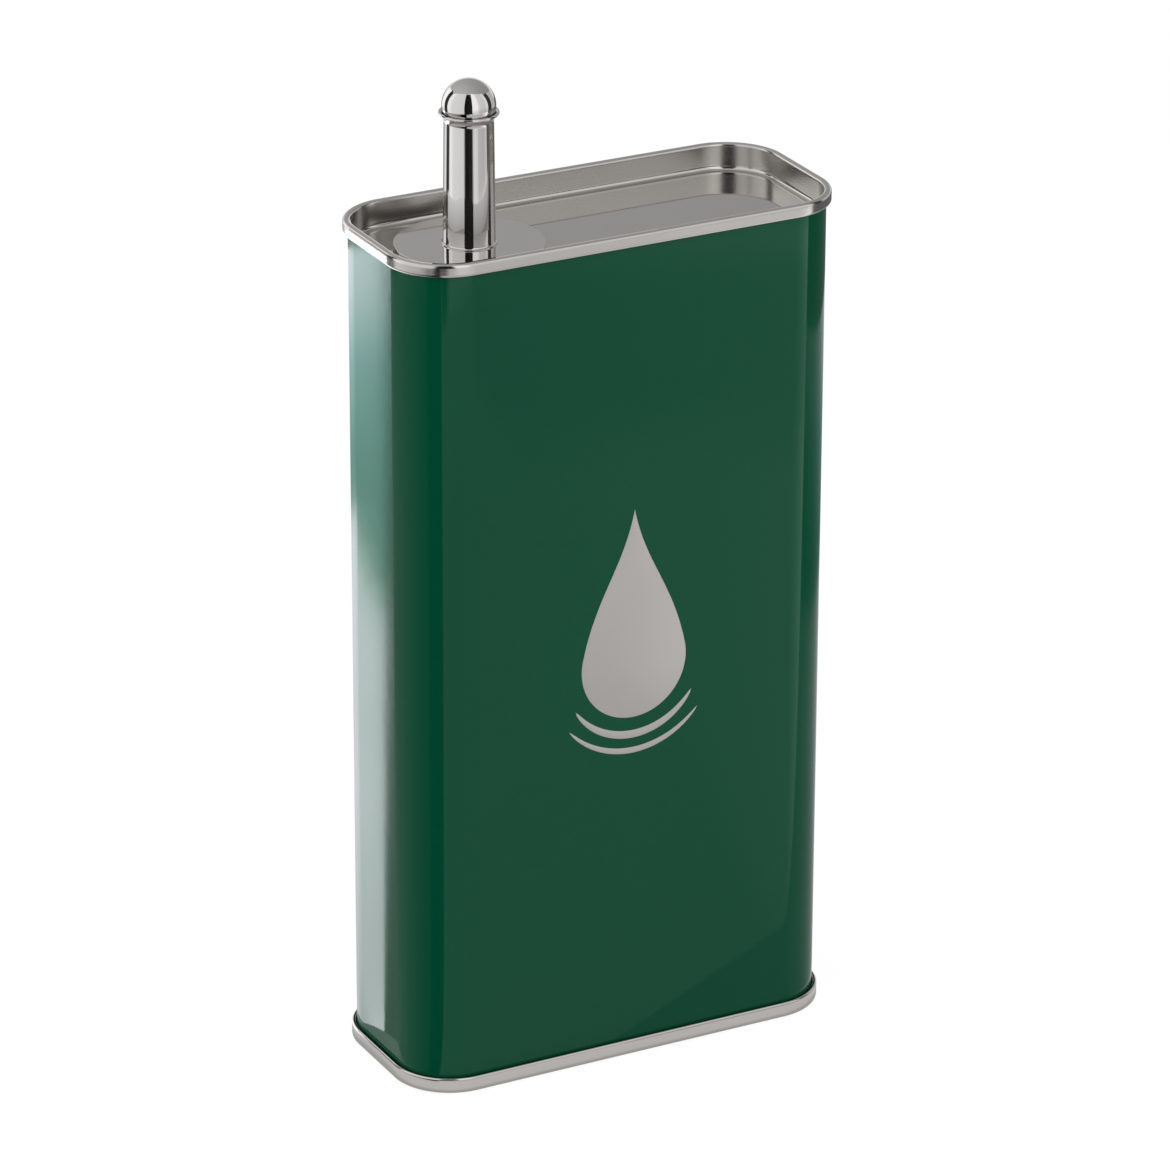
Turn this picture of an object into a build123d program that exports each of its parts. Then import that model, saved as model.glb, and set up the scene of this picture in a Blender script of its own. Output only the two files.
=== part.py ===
from build123d import *

import os
from math import acos, asin, cos, degrees, sin, sqrt

# A slab tin for olive oil with a screw-in pouring spout and a ball stopper, in millimetres.
# The origin is the centre of the base. +Z is up, +Y is the back, the spout stands near -X.

# Whole tin, measured over the rims
height = 212.0
rim_length = 115.0
rim_width = 50.0
rim_corner = 15.1

# Sheet and double seams
sheet = 0.30
seam_film = 0.10  # sealing film between two layers of a seam
seam_round = 0.75  # outside radius along the edges of a rim
hook_bend = 0.35  # bend of a hook, on the middle of its sheet
top_seam_height = 3.2
top_hook = 2.0
bottom_seam_height = 4.0
bottom_hook = 2.6
seal_depth = 0.30
seal_play = 0.05

# Side seam at the back
lap_width = 5.0
lap_end_gap = 0.4  # the lap is notched away this far from each double seam
lap_edge = 0.12

# Top end
top_recess = 6.6
top_panel_bend = 1.2

# Bottom end
bottom_recess = 5.0
bottom_panel_bend = 1.2
step_inset = 7.0  # from the wall to the foot of the step in the base panel
step_run = 1.4
step_rise = 1.2

# Filler neck under the top panel
spout_inset = 26.2  # from the end of the rim to the spout's axis
neck_bore_radius = 12.5
neck_wall = 1.2
neck_length = 7.5
neck_flange_radius = 16.5
neck_flange_thickness = 0.6
neck_play = 0.05

# Spout
disc_radius = 17.8
disc_thickness = 1.0
disc_edge = 0.2
gasket_thickness = 0.9
gasket_radius = 16.6
gasket_play = 0.15
plug_play = 0.08
plug_wall = 1.0
plug_length = 7.8
plug_chamfer = 0.4
tube_wall = 0.72
tube_base_radius = 6.2
tube_neck_radius = 5.83
tube_taper_length = 29.5
foot_radius = 0.5
foot_edge = 0.12
flare_radius = 2.0  # of the outside, under the lip
lip_radius = 7.1
lip_height = 0.6
lip_land = 0.55  # flat top of the lip, outside the cone that the ball rests in
lip_edge = 0.2

# Ball stopper
ball_radius = 6.35
ball_play = 0.05
ball_seat_radius = 5.6  # where the ball meets the cone of the mouth
stem_radius = 2.0
stem_socket = 4.0
stem_play = 0.02
head_radius = 3.4
head_thickness = 1.2
head_edge = 0.3
seal_length = 6.0
seal_ribs = 3
seal_rib_height = 1.0
seal_waist_radius = 4.2
bore_play = 0.08

# A flat that takes the place of an arc cuts this share of its radius off each leg
flat_share = 2 - sqrt(2)

# Layers of a double seam, as distances out from the body's outer face to mid-sheet
layer = sheet + seam_film
wall_middle = -sheet / 2
chuck_middle = wall_middle - layer
cover_hook_middle = wall_middle + layer
body_hook_middle = wall_middle + 2 * layer
seam_middle = wall_middle + 3 * layer
overhang = seam_middle + sheet / 2

# Sizes that follow from those above
body_length = rim_length - 2 * overhang
body_width = rim_width - 2 * overhang
body_corner = rim_corner - overhang
panel_top = height - top_recess
panel_underside = panel_top - sheet
spout_x = spout_inset - rim_length / 2
neck_radius = neck_bore_radius + neck_wall
plug_radius = neck_bore_radius - plug_play
disc_underside = panel_top + gasket_thickness
disc_top = disc_underside + disc_thickness
tube_base_bore = tube_base_radius - tube_wall
tube_neck_bore = tube_neck_radius - tube_wall
flare_z = disc_top + tube_taper_length
flare_angle = acos(1 - (lip_radius - tube_neck_radius) / flare_radius)
lip_underside = flare_z + flare_radius * sin(flare_angle)
lip_top = lip_underside + lip_height
mouth_radius = lip_radius - lip_land
seat_angle = asin(ball_seat_radius / ball_radius)
cone_slope = cos(seat_angle) / sin(seat_angle)  # radius gained per unit of height
cone_base = lip_top - (mouth_radius - tube_neck_bore) / cone_slope
ball_above_lip = (ball_radius + ball_play - mouth_radius * sin(seat_angle)) / cos(seat_angle)
ball_z = lip_top + ball_above_lip
ball_bottom = ball_z - ball_radius
head_top = ball_bottom - seal_length

spout_floor = Plane((spout_x, 0, 0))
spout_side = Plane((spout_x, 0, 0), x_dir=(1, 0, 0), z_dir=(0, -1, 0))
spout_axis = Axis((spout_x, 0, 0), (0, 0, 1))


def wall_path(z):
    """The body's outer outline at height z."""
    with BuildSketch(Plane.XY.offset(z)) as outline:
        RectangleRounded(body_length, body_width, body_corner)
    return outline.sketch.wire()


def wall_plane(path, up):
    """A plane across the wall where the path starts: x points out, y points up or down."""
    start = path @ 0
    tangent = path % 0
    outward = tangent.cross(Vector(0, 0, 1))
    if outward.dot(Vector(start.X, start.Y, 0)) < 0:
        outward = -outward
    return Plane(start, x_dir=outward, z_dir=outward.cross(Vector(0, 0, up)))


def strip(plane, points, bends):
    """A section of bent sheet along points at mid-sheet, with a bend at each corner.

    A bend is its radius at mid-sheet and the side that shows, "inner", "outer" or "".
    The side that shows is an arc. A side hidden in the seam is a flat of the same size.
    A corner whose bend is None stays sharp.
    """
    with BuildSketch(plane) as section:
        with BuildLine():
            Polyline(*points)
        trace(line_width=sheet)
        for before, corner, bend in zip(points, points[1:], bends):
            if bend is None:
                continue
            middle, shown = bend
            for side, radius in (("inner", middle - sheet / 2), ("outer", middle + sheet / 2)):
                count = 2 if side == "inner" else 1
                vertex = section.vertices().sort_by_distance(corner)[:count].sort_by_distance(before)[0]
                if side == shown:
                    fillet(vertex, radius)
                else:
                    chamfer(vertex, radius * flat_share)
    return section.sketch


def end_section(plane, seam_height, hook, panel, panel_bends):
    """An end's sheet from its panel up the wall, over the seam and into the cover hook."""
    rim = sheet / 2
    curl = seam_height - sheet / 2
    edge_bend = seam_round - sheet / 2
    points = panel + [
        (chuck_middle, rim),
        (seam_middle, rim),
        (seam_middle, curl),
        (cover_hook_middle, curl),
        (cover_hook_middle, seam_height - hook),
    ]
    seam_bends = [(edge_bend, "outer"), (edge_bend, "outer"), (hook_bend, ""), (hook_bend, "")]
    return strip(plane, points, panel_bends + seam_bends)


def seal_section(plane, hook):
    """Sealing compound below the body hook's edge, inside the curl of the end."""
    low = layer + hook
    left = cover_hook_middle + sheet / 2 + seal_play
    right = seam_middle - sheet / 2 - seal_play
    with BuildSketch(plane) as section:
        with BuildLine():
            Polyline((left, low), (right, low), (right, low + seal_depth), (left, low + seal_depth), close=True)
        make_face()
    return section.sketch


# Paths and sections of the sheet pieces
base_path = wall_path(0)
rim_path = wall_path(height)
base_plane = wall_plane(base_path, 1)
rim_plane = wall_plane(rim_path, -1)

body_top = height - layer - sheet / 2
body_base = layer + sheet / 2
body_section = strip(
    base_plane,
    [
        (body_hook_middle, height - layer - top_hook),
        (body_hook_middle, body_top),
        (wall_middle, body_top),
        (wall_middle, body_base),
        (body_hook_middle, body_base),
        (body_hook_middle, layer + bottom_hook),
    ],
    [(hook_bend, "")] * 4,
)

top_land = chuck_middle - top_panel_bend - sheet
top_panel_middle = top_recess + sheet / 2
top_section = end_section(
    rim_plane,
    top_seam_height,
    top_hook,
    [(top_land, top_panel_middle), (chuck_middle, top_panel_middle)],
    [(top_panel_bend, "inner")],
)

step_foot = chuck_middle - step_inset
step_head = step_foot - step_run
base_land = step_head - sheet
base_panel_middle = bottom_recess + sheet / 2
base_section = end_section(
    base_plane,
    bottom_seam_height,
    bottom_hook,
    [
        (base_land, base_panel_middle + step_rise),
        (step_head, base_panel_middle + step_rise),
        (step_foot, base_panel_middle),
        (chuck_middle, base_panel_middle),
    ],
    [None, None, (bottom_panel_bend, "inner")],
)

top_seal_section = seal_section(rim_plane, top_hook)
base_seal_section = seal_section(base_plane, bottom_hook)


# Green sleeve with its hooks and the welded lap at the back
with BuildPart() as body_shell:
    sweep(body_section, path=base_path)
    lap_low = bottom_seam_height + lap_end_gap
    lap_high = height - top_seam_height - lap_end_gap
    with BuildSketch(Plane.XY.offset(lap_low)) as lap_outline:
        with BuildLine():
            Polyline(
                (-lap_width / 2, body_width / 2 - sheet / 2),
                (lap_width / 2, body_width / 2 - sheet / 2),
                (lap_width / 2, body_width / 2 + sheet),
                (-lap_width / 2, body_width / 2 + sheet),
                close=True,
            )
        make_face()
        fillet(lap_outline.vertices().group_by(Axis.Y)[-1], lap_edge)
    extrude(amount=lap_high - lap_low)

# Top end with its recessed panel and the hole for the filler neck
with BuildPart() as top_end:
    sweep(top_section, path=rim_path)
    with BuildSketch(Plane.XY.offset(panel_underside)) as top_panel:
        RectangleRounded(body_length + 2 * top_land, body_width + 2 * top_land, body_corner + top_land)
        with Locations((spout_x, 0)):
            Circle(neck_radius + neck_play, mode=Mode.SUBTRACT)
    extrude(amount=sheet)

# Bottom end with the step that stiffens its panel
with BuildPart() as bottom_end:
    sweep(base_section, path=base_path)
    with BuildSketch(Plane.XY.offset(bottom_recess + step_rise)) as base_panel:
        RectangleRounded(body_length + 2 * base_land, body_width + 2 * base_land, body_corner + base_land)
    extrude(amount=sheet)

# Sealing compound in the two double seams
with BuildPart() as top_seam_seal:
    sweep(top_seal_section, path=rim_path)

with BuildPart() as bottom_seam_seal:
    sweep(base_seal_section, path=base_path)

# Filler neck, flush with the panel, its flange against the underside
with BuildPart() as filler_neck:
    with BuildSketch(spout_floor.offset(panel_top)) as neck_ring:
        Circle(neck_radius)
        Circle(neck_bore_radius, mode=Mode.SUBTRACT)
    extrude(amount=-neck_length)
    with BuildSketch(spout_floor.offset(panel_underside)) as neck_flange:
        Circle(neck_flange_radius)
        Circle(neck_bore_radius, mode=Mode.SUBTRACT)
    extrude(amount=-neck_flange_thickness)

# Flat gasket, held round the plug
with BuildPart() as spout_gasket:
    with BuildSketch(spout_floor.offset(panel_top)) as gasket_ring:
        Circle(gasket_radius)
        Circle(plug_radius + gasket_play, mode=Mode.SUBTRACT)
    extrude(amount=gasket_thickness)

# Polished disc that carries the tube above and the plug below
with BuildPart() as spout_disc:
    with BuildSketch(spout_floor.offset(disc_underside)) as disc_ring:
        Circle(disc_radius)
        Circle(tube_base_bore, mode=Mode.SUBTRACT)
    extrude(amount=disc_thickness)
    disc_edges = spout_disc.edges().filter_by(GeomType.CIRCLE).sort_by(SortBy.RADIUS)[-2:]
    chamfer(disc_edges.sort_by(Axis.Z)[-1], disc_edge)

# Hollow plug that screws into the neck
with BuildPart() as spout_plug:
    with BuildSketch(spout_floor.offset(disc_underside)) as plug_ring:
        Circle(plug_radius)
        Circle(plug_radius - plug_wall, mode=Mode.SUBTRACT)
    extrude(amount=-plug_length)
    plug_edges = spout_plug.edges().group_by(Axis.Z)[0].sort_by(SortBy.RADIUS)
    chamfer(plug_edges[-1], plug_chamfer)

# Tapered tube with a small foot, and a flared lip with a cone for the ball
foot_top = disc_top + foot_edge + foot_radius
foot_reach = tube_base_radius + foot_radius
with BuildPart() as spout_tube:
    with BuildSketch(spout_side) as tube_section:
        with BuildLine():
            Polyline((foot_reach, disc_top + foot_edge), (foot_reach, disc_top), (tube_base_bore, disc_top))
            Line((tube_base_bore, disc_top), (tube_neck_bore, cone_base))
            Polyline(
                (tube_neck_bore, cone_base),
                (mouth_radius, lip_top),
                (lip_radius, lip_top),
                (lip_radius, lip_underside),
            )
            CenterArc((tube_neck_radius + flare_radius, flare_z), flare_radius, 180, -degrees(flare_angle))
            Line((tube_neck_radius, flare_z), (tube_base_radius, foot_top))
            CenterArc((foot_reach, foot_top), foot_radius, 180, 90)
        make_face()
        chamfer(tube_section.vertices().group_by(Axis.Y)[-1], lip_edge)
    revolve(axis=spout_axis)

# Ball that rests in the flared lip
with BuildPart(spout_floor.offset(ball_z)) as stopper_ball:
    Sphere(ball_radius)
    with BuildSketch(spout_floor.offset(ball_bottom)) as socket:
        Circle(stem_radius + stem_play)
    extrude(amount=stem_socket, mode=Mode.SUBTRACT)

# Headed stem that guides the ball
with BuildPart() as stopper_stem:
    with BuildSketch(spout_floor.offset(head_top - head_thickness)) as stem_head:
        Circle(head_radius)
    extrude(amount=head_thickness)
    chamfer(stopper_stem.edges().filter_by(GeomType.CIRCLE), head_edge)
    with BuildSketch(spout_floor.offset(head_top)) as stem_shank:
        Circle(stem_radius)
    extrude(amount=seal_length + stem_socket)

# Ribbed silicone sleeve between the head and the ball
seal_rib_radius = tube_neck_bore - bore_play
with BuildPart() as stopper_seal:
    with BuildSketch(spout_floor.offset(head_top)) as seal_sleeve:
        Circle(seal_waist_radius)
    extrude(amount=seal_length)
    for rib in range(seal_ribs):
        rib_z = head_top + rib * (seal_length - seal_rib_height) / (seal_ribs - 1)
        with BuildSketch(spout_floor.offset(rib_z)) as seal_rib:
            Circle(seal_rib_radius)
        extrude(amount=seal_rib_height)
    with BuildSketch(spout_floor.offset(head_top)) as seal_bore:
        Circle(stem_radius + stem_play)
    extrude(amount=seal_length, mode=Mode.SUBTRACT)

pieces = {
    "body_shell": body_shell,
    "top_end": top_end,
    "bottom_end": bottom_end,
    "top_seam_seal": top_seam_seal,
    "bottom_seam_seal": bottom_seam_seal,
    "filler_neck": filler_neck,
    "spout_gasket": spout_gasket,
    "spout_disc": spout_disc,
    "spout_plug": spout_plug,
    "spout_tube": spout_tube,
    "stopper_ball": stopper_ball,
    "stopper_stem": stopper_stem,
    "stopper_seal": stopper_seal,
}

os.makedirs("parts", exist_ok=True)
for name, piece in pieces.items():
    piece.part.label = name
    export_step(piece.part, f"parts/{name}.step")
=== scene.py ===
from math import acos, asin, atan2, cos, pi, radians, sin, tan

import bmesh
import bpy
from mathutils import Matrix, Vector


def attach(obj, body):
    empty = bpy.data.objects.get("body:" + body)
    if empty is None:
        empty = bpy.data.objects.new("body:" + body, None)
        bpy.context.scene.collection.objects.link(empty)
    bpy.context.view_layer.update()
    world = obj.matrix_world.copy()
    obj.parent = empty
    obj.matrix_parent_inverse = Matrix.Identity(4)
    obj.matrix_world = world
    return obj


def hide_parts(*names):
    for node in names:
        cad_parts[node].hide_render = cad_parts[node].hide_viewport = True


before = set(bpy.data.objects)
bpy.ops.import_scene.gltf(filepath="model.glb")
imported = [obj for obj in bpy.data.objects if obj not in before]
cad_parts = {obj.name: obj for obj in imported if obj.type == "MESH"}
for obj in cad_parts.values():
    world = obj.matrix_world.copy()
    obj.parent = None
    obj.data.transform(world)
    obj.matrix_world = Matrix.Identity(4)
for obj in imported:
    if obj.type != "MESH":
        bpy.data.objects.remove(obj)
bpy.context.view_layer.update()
scene = bpy.context.scene
mm = 0.001
print("frame loaded")

# Sizes of the tin in millimetres, as the solids have them
tin = {
    "height": 212.0,
    "length": 115.0,
    "width": 50.0,
    "corner": 15.1,
    "sheet": 0.30,
    "layer": 0.40,
    "topSeam": 3.2,
    "topHook": 2.0,
    "bottomSeam": 4.0,
    "bottomHook": 2.6,
    "topRecess": 6.6,
    "bottomRecess": 5.0,
    "overhang": 1.2,
    "leastBend": 0.02,
    "pathSteps": 560,
}
spoutX = -31.3
panelTop = tin["height"] - tin["topRecess"]
bodyLength = tin["length"] - 2 * tin["overhang"]
bodyWidth = tin["width"] - 2 * tin["overhang"]
bodyCorner = tin["corner"] - tin["overhang"]


# Shading helpers

def newGroup(name, inputs, outputs, treeKind="ShaderNodeTree"):
    # inputs have a name, a kind and perhaps a value
    group = bpy.data.node_groups.new(name, treeKind)
    for socket, kind, *value in inputs:
        made = group.interface.new_socket(socket, in_out="INPUT", socket_type=kind)
        if value:
            made.default_value = value[0]
    for socket, kind in outputs:
        group.interface.new_socket(socket, in_out="OUTPUT", socket_type=kind)
    return group, group.nodes.new("NodeGroupInput").outputs, group.nodes.new("NodeGroupOutput").inputs


def addNode(tree, kind, inputs=None, **settings):
    # inputs go by name or number, each a value or another node's output
    node = tree.nodes.new(kind)
    for key, value in settings.items():
        setattr(node, key, value)
    for key, value in (inputs or {}).items():
        if isinstance(value, bpy.types.NodeSocket):
            tree.links.new(value, node.inputs[key])
        else:
            node.inputs[key].default_value = value
    return node


def mathNode(tree, operation, *inputs, clamp=False):
    made = addNode(tree, "ShaderNodeMath", dict(enumerate(inputs)), operation=operation, use_clamp=clamp)
    return made.outputs[0]


# Fine lines left by rolling, brushing or turning: a height and a roughness that change across them
lineLook = {"detail": 6, "breakUp": 0.7, "cloudScale": 45, "cloudDetail": 3}
brushed, given, out = newGroup(
    "brushedLines",
    [
        ("Vector", "NodeSocketVector"),
        ("Stretch", "NodeSocketVector", (1, 1, 1)),
        ("Scale", "NodeSocketFloat", 900.0),
        ("Roughness", "NodeSocketFloat", 0.2),
        ("Roughness Spread", "NodeSocketFloat", 0.06),
    ],
    [("Height", "NodeSocketFloat"), ("Roughness", "NodeSocketFloat")],
)
stretched = addNode(brushed, "ShaderNodeVectorMath", {
    0: given["Vector"], 1: given["Stretch"],
}, operation="MULTIPLY")
lines = addNode(brushed, "ShaderNodeTexNoise", {
    "Vector": stretched.outputs[0], "Scale": given["Scale"],
    "Detail": lineLook["detail"], "Roughness": lineLook["breakUp"],
}).outputs["Fac"]
cloudy = addNode(brushed, "ShaderNodeTexNoise", {
    "Vector": given["Vector"], "Scale": lineLook["cloudScale"], "Detail": lineLook["cloudDetail"],
}).outputs["Fac"]
centred = mathNode(brushed, "SUBTRACT", mathNode(brushed, "ADD", lines, cloudy), 1.0)
spread = mathNode(brushed, "MULTIPLY", centred, given["Roughness Spread"])
brushed.links.new(lines, out["Height"])
brushed.links.new(mathNode(brushed, "ADD", spread, given["Roughness"], clamp=True), out["Roughness"])

# Slight darkening where hands and cloths have dulled the metal
patchDetail = 4
handled, given, out = newGroup(
    "handledTint",
    [
        ("Vector", "NodeSocketVector"),
        ("Clean", "NodeSocketColor", (0.6, 0.6, 0.6, 1)),
        ("Dull", "NodeSocketColor", (0.5, 0.5, 0.5, 1)),
        ("Scale", "NodeSocketFloat", 30.0),
    ],
    [("Color", "NodeSocketColor")],
)
patches = addNode(handled, "ShaderNodeTexNoise", {
    "Vector": given["Vector"], "Scale": given["Scale"], "Detail": patchDetail,
})
tint = addNode(handled, "ShaderNodeMix", {
    "Factor": patches.outputs["Fac"], "A": given["Clean"], "B": given["Dull"],
}, data_type="RGBA")
handled.links.new(tint.outputs["Result"], out["Color"])


def newMaterial(name, **values):
    material = bpy.data.materials.new(name)
    material.use_nodes = True
    shader = material.node_tree.nodes["Principled BSDF"]
    for key, value in values.items():
        shader.inputs[key].default_value = value
    return material, material.node_tree, shader


def handledTone(tree, place, clean, dull, scale):
    return addNode(tree, "ShaderNodeGroup", {
        "Vector": place, "Clean": clean, "Dull": dull, "Scale": scale,
    }, node_tree=handled).outputs["Color"]


def addBump(tree, shader, height, strength, depth):
    bump = addNode(tree, "ShaderNodeBump", {"Strength": strength, "Distance": depth * mm, "Height": height})
    tree.links.new(bump.outputs["Normal"], shader.inputs["Normal"])


def metalFinish(name, look):
    # a bare metal with fine lines along one direction; wall and panel are shares of a piece's mesh, and where
    # wallPaintedShade is given the wall's colour is made darker as painted shade in the recess
    material, tree, shader = newMaterial(name, Metallic=1.0)
    place = addNode(tree, "ShaderNodeTexCoord").outputs["Object"]
    tone = handledTone(tree, place, look["clean"], look["dull"], look["patchScale"])
    roughness, spread = look["roughness"], look["spread"]
    if "wallPaintedShade" in look:
        onWall = addNode(tree, "ShaderNodeAttribute", attribute_name="wall").outputs["Fac"]
        onPanel = addNode(tree, "ShaderNodeAttribute", attribute_name="panel").outputs["Fac"]
        # painted shade: the recess wall's colour is multiplied darker by its wall share; the rougher wall
        # below is the metal's own
        tone = addNode(tree, "ShaderNodeMix", {
            "Factor": onWall, "A": tone, "B": look["wallPaintedShade"],
        }, data_type="RGBA", blend_type="MULTIPLY").outputs["Result"]
        rougher = mathNode(tree, "MULTIPLY_ADD", onWall, look["wallRoughness"] - look["roughness"], roughness)
        smoother = mathNode(tree, "MULTIPLY", onPanel, look["panelRoughness"] - look["roughness"])
        roughness = mathNode(tree, "ADD", rougher, smoother, clamp=True)
        spread = mathNode(tree, "MULTIPLY_ADD", onPanel, (look["panelSpread"] - 1) * look["spread"], spread)
    grain = addNode(tree, "ShaderNodeGroup", {
        "Vector": place, "Stretch": look["stretch"], "Scale": look["lineScale"],
        "Roughness": roughness, "Roughness Spread": spread,
    }, node_tree=brushed).outputs
    tree.links.new(tone, shader.inputs["Base Color"])
    tree.links.new(grain["Roughness"], shader.inputs["Roughness"])
    addBump(tree, shader, grain["Height"], look["bump"], look["bumpDepth"])
    return material


steelClean = (0.64, 0.62, 0.595, 1)
steelDull = (0.56, 0.54, 0.515, 1)
endSteel = metalFinish("endSteel", {
    "clean": steelClean, "dull": steelDull, "patchScale": 25, "stretch": (0.06, 0.06, 1),
    "lineScale": 2600, "roughness": 0.15, "spread": 0.07, "bump": 0.22, "bumpDepth": 0.02,
})
# the recess wall of the top end gets painted shade, a darker colour for the shade inside the recess
topSteel = metalFinish("topSteel", {
    "clean": steelClean, "dull": steelDull, "patchScale": 25, "stretch": (0.06, 0.06, 1),
    "lineScale": 1300, "roughness": 0.15, "spread": 0.10, "bump": 0.18, "bumpDepth": 0.025,
    "wallPaintedShade": (0.86, 0.86, 0.86, 1), "wallRoughness": 0.26,
    "panelRoughness": 0.03, "panelSpread": 0.1,
})
polishedSteel = metalFinish("polishedSteel", {
    "clean": (0.68, 0.665, 0.65, 1), "dull": (0.64, 0.625, 0.61, 1), "patchScale": 60,
    "stretch": (1, 1, 0.05), "lineScale": 1800, "roughness": 0.055, "spread": 0.03,
    "bump": 0.03, "bumpDepth": 0.01,
})
motifSteel = metalFinish("motifSteel", {
    "clean": (0.56, 0.54, 0.52, 1), "dull": (0.52, 0.50, 0.48, 1), "patchScale": 40, "stretch": (1, 1, 1),
    "lineScale": 2600, "roughness": 0.42, "spread": 0.08, "bump": 0.15, "bumpDepth": 0.02,
})
turnedSteel = metalFinish("turnedSteel", {
    "clean": steelClean, "dull": steelDull, "patchScale": 40, "stretch": (0.05, 0.05, 1),
    "lineScale": 2400, "roughness": 0.22, "spread": 0.1, "bump": 0.3, "bumpDepth": 0.02,
})


def lacquerFinish(name, look):
    material, tree, shader = newMaterial(
        name, Roughness=look["roughness"], Metallic=look["metallic"], IOR=look["ior"],
        **{"Specular IOR Level": look["specular"]})
    place = addNode(tree, "ShaderNodeTexCoord").outputs["Object"]
    tone = handledTone(tree, place, look["clean"], look["dull"], look["patchScale"])
    tree.links.new(tone, shader.inputs["Base Color"])
    flow = addNode(tree, "ShaderNodeTexNoise", {
        "Vector": place, "Scale": look["flowScale"], "Detail": look["flowDetail"],
    })
    addBump(tree, shader, flow.outputs["Fac"], look["flow"], look["flowDepth"])
    return material


greenLacquer = lacquerFinish("greenLacquer", {
    "clean": (0.0005, 0.064, 0.0300, 1), "dull": (0.0008, 0.059, 0.0275, 1), "patchScale": 14,
    "metallic": 0.2, "roughness": 0.06, "ior": 1.5, "specular": 0.26,
    "flowScale": 260, "flowDetail": 2, "flow": 0.05, "flowDepth": 0.05,
})


def rubberFinish(name, base, roughness, dust, dustScale=400):
    material, tree, shader = newMaterial(name, Roughness=roughness)
    place = addNode(tree, "ShaderNodeTexCoord").outputs["Object"]
    tone = handledTone(tree, place, base, tuple(v * dust for v in base[:3]) + (1,), dustScale)
    tree.links.new(tone, shader.inputs["Base Color"])
    return material


seamCompound = rubberFinish("seamCompound", (0.25, 0.25, 0.24, 1), 0.6, 0.8)
gasketRubber = rubberFinish("gasketRubber", (0.62, 0.62, 0.58, 1), 0.55, 0.9)
siliconeRubber = rubberFinish("siliconeRubber", (0.70, 0.70, 0.67, 1), 0.4, 0.93)
print("materials made")


# Shapes

def showPiece(name, mesh, material, body, nodes=()):
    piece = bpy.data.objects.new(name, mesh)
    scene.collection.objects.link(piece)
    mesh.materials.clear()
    mesh.materials.append(material)
    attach(piece, body)
    if nodes:
        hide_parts(*nodes)
    return piece


def arc(centre, radius, start, end, steps):
    # points on an arc, angles in degrees
    turns = [radians(start + (end - start) * i / steps) for i in range(steps + 1)]
    return [(centre[0] + radius * cos(a), centre[1] + radius * sin(a)) for a in turns]


def roundedLine(points, bends, steps, shoulder=0.2, closed=False):
    # the line through points with a round bend at each corner, and a point on the flats beside each bend
    count = len(points)
    line = []
    for i, point in enumerate(points):
        radius = bends[i]
        if not radius or (not closed and i in (0, count - 1)):
            line.append(tuple(point))
            continue
        corner = Vector(point)
        goIn = (corner - Vector(points[i - 1])).normalized()
        goOut = (Vector(points[(i + 1) % count]) - corner).normalized()
        turn = atan2(goIn.x * goOut.y - goIn.y * goOut.x, goIn.dot(goOut))
        reach = radius * tan(abs(turn) / 2)
        side = 1 if turn > 0 else -1
        start = corner - goIn * reach
        centre = start + Vector((-goIn.y, goIn.x)) * radius * side
        first = atan2(start.y - centre.y, start.x - centre.x)
        if shoulder:
            line.append(tuple(start - goIn * shoulder))
        line += [
            (centre.x + radius * cos(a), centre.y + radius * sin(a))
            for a in (first + turn * k / steps for k in range(steps + 1))
        ]
        if shoulder:
            line.append(tuple(corner + goOut * (reach + shoulder)))
    return line


def sheetFaces(points, bends, steps):
    # the two faces of bent sheet whose middle follows points
    half = tin["sheet"] / 2
    faces = []
    for distance in (half, -half):
        moved, radii = [], []
        for i, point in enumerate(points):
            here = Vector(point)
            goIn = (here - Vector(points[i - 1])).normalized() if i else None
            goOut = (Vector(points[i + 1]) - here).normalized() if i < len(points) - 1 else None
            goIn, goOut = goIn or goOut, goOut or goIn
            left = (Vector((-goIn.y, goIn.x)) + Vector((-goOut.y, goOut.x))).normalized()
            moved.append(here + left * distance / left.dot(Vector((-goIn.y, goIn.x))))
            turn = goIn.x * goOut.y - goIn.y * goOut.x
            inner = bends[i] - (distance if turn > 0 else -distance)
            radii.append(max(inner, tin["leastBend"]) if bends[i] else 0)
        faces.append(roundedLine(moved, radii, steps))
    return faces


def outlineMesh(name, line, closed):
    # a line as a mesh of edges, for the sweep to use as its profile: Y there points down
    mesh = bpy.data.meshes.new(name)
    edges = [(i, i + 1) for i in range(len(line) - 1)]
    if closed:
        edges.append((len(line) - 1, 0))
    mesh.from_pydata([(x * mm, -y * mm, 0) for x, y in line], edges, [])
    return mesh


def sweepAlong(tree, path, section, caps=False):
    # a section, given as a mesh of edges, along a path that keeps it upright
    upright = addNode(tree, "GeometryNodeSetCurveNormal", {"Curve": path}, mode="Z_UP")
    profile = addNode(tree, "GeometryNodeMeshToCurve", {"Mesh": section})
    return addNode(tree, "GeometryNodeCurveToMesh", {
        "Curve": upright.outputs["Curve"], "Profile Curve": profile.outputs["Curve"], "Fill Caps": caps,
    }).outputs["Mesh"]


def endTree(tree, result, material, out):
    # smooth shading, real geometry and the material, as each tree ends
    smooth = addNode(tree, "GeometryNodeSetShadeSmooth", {"Geometry": result})
    real = addNode(tree, "GeometryNodeRealizeInstances", {"Geometry": smooth.outputs["Geometry"]})
    paint = addNode(tree, "GeometryNodeSetMaterial", {
        "Geometry": real.outputs["Geometry"], "Material": material,
    })
    tree.links.new(paint.outputs["Geometry"], out["Geometry"])


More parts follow.
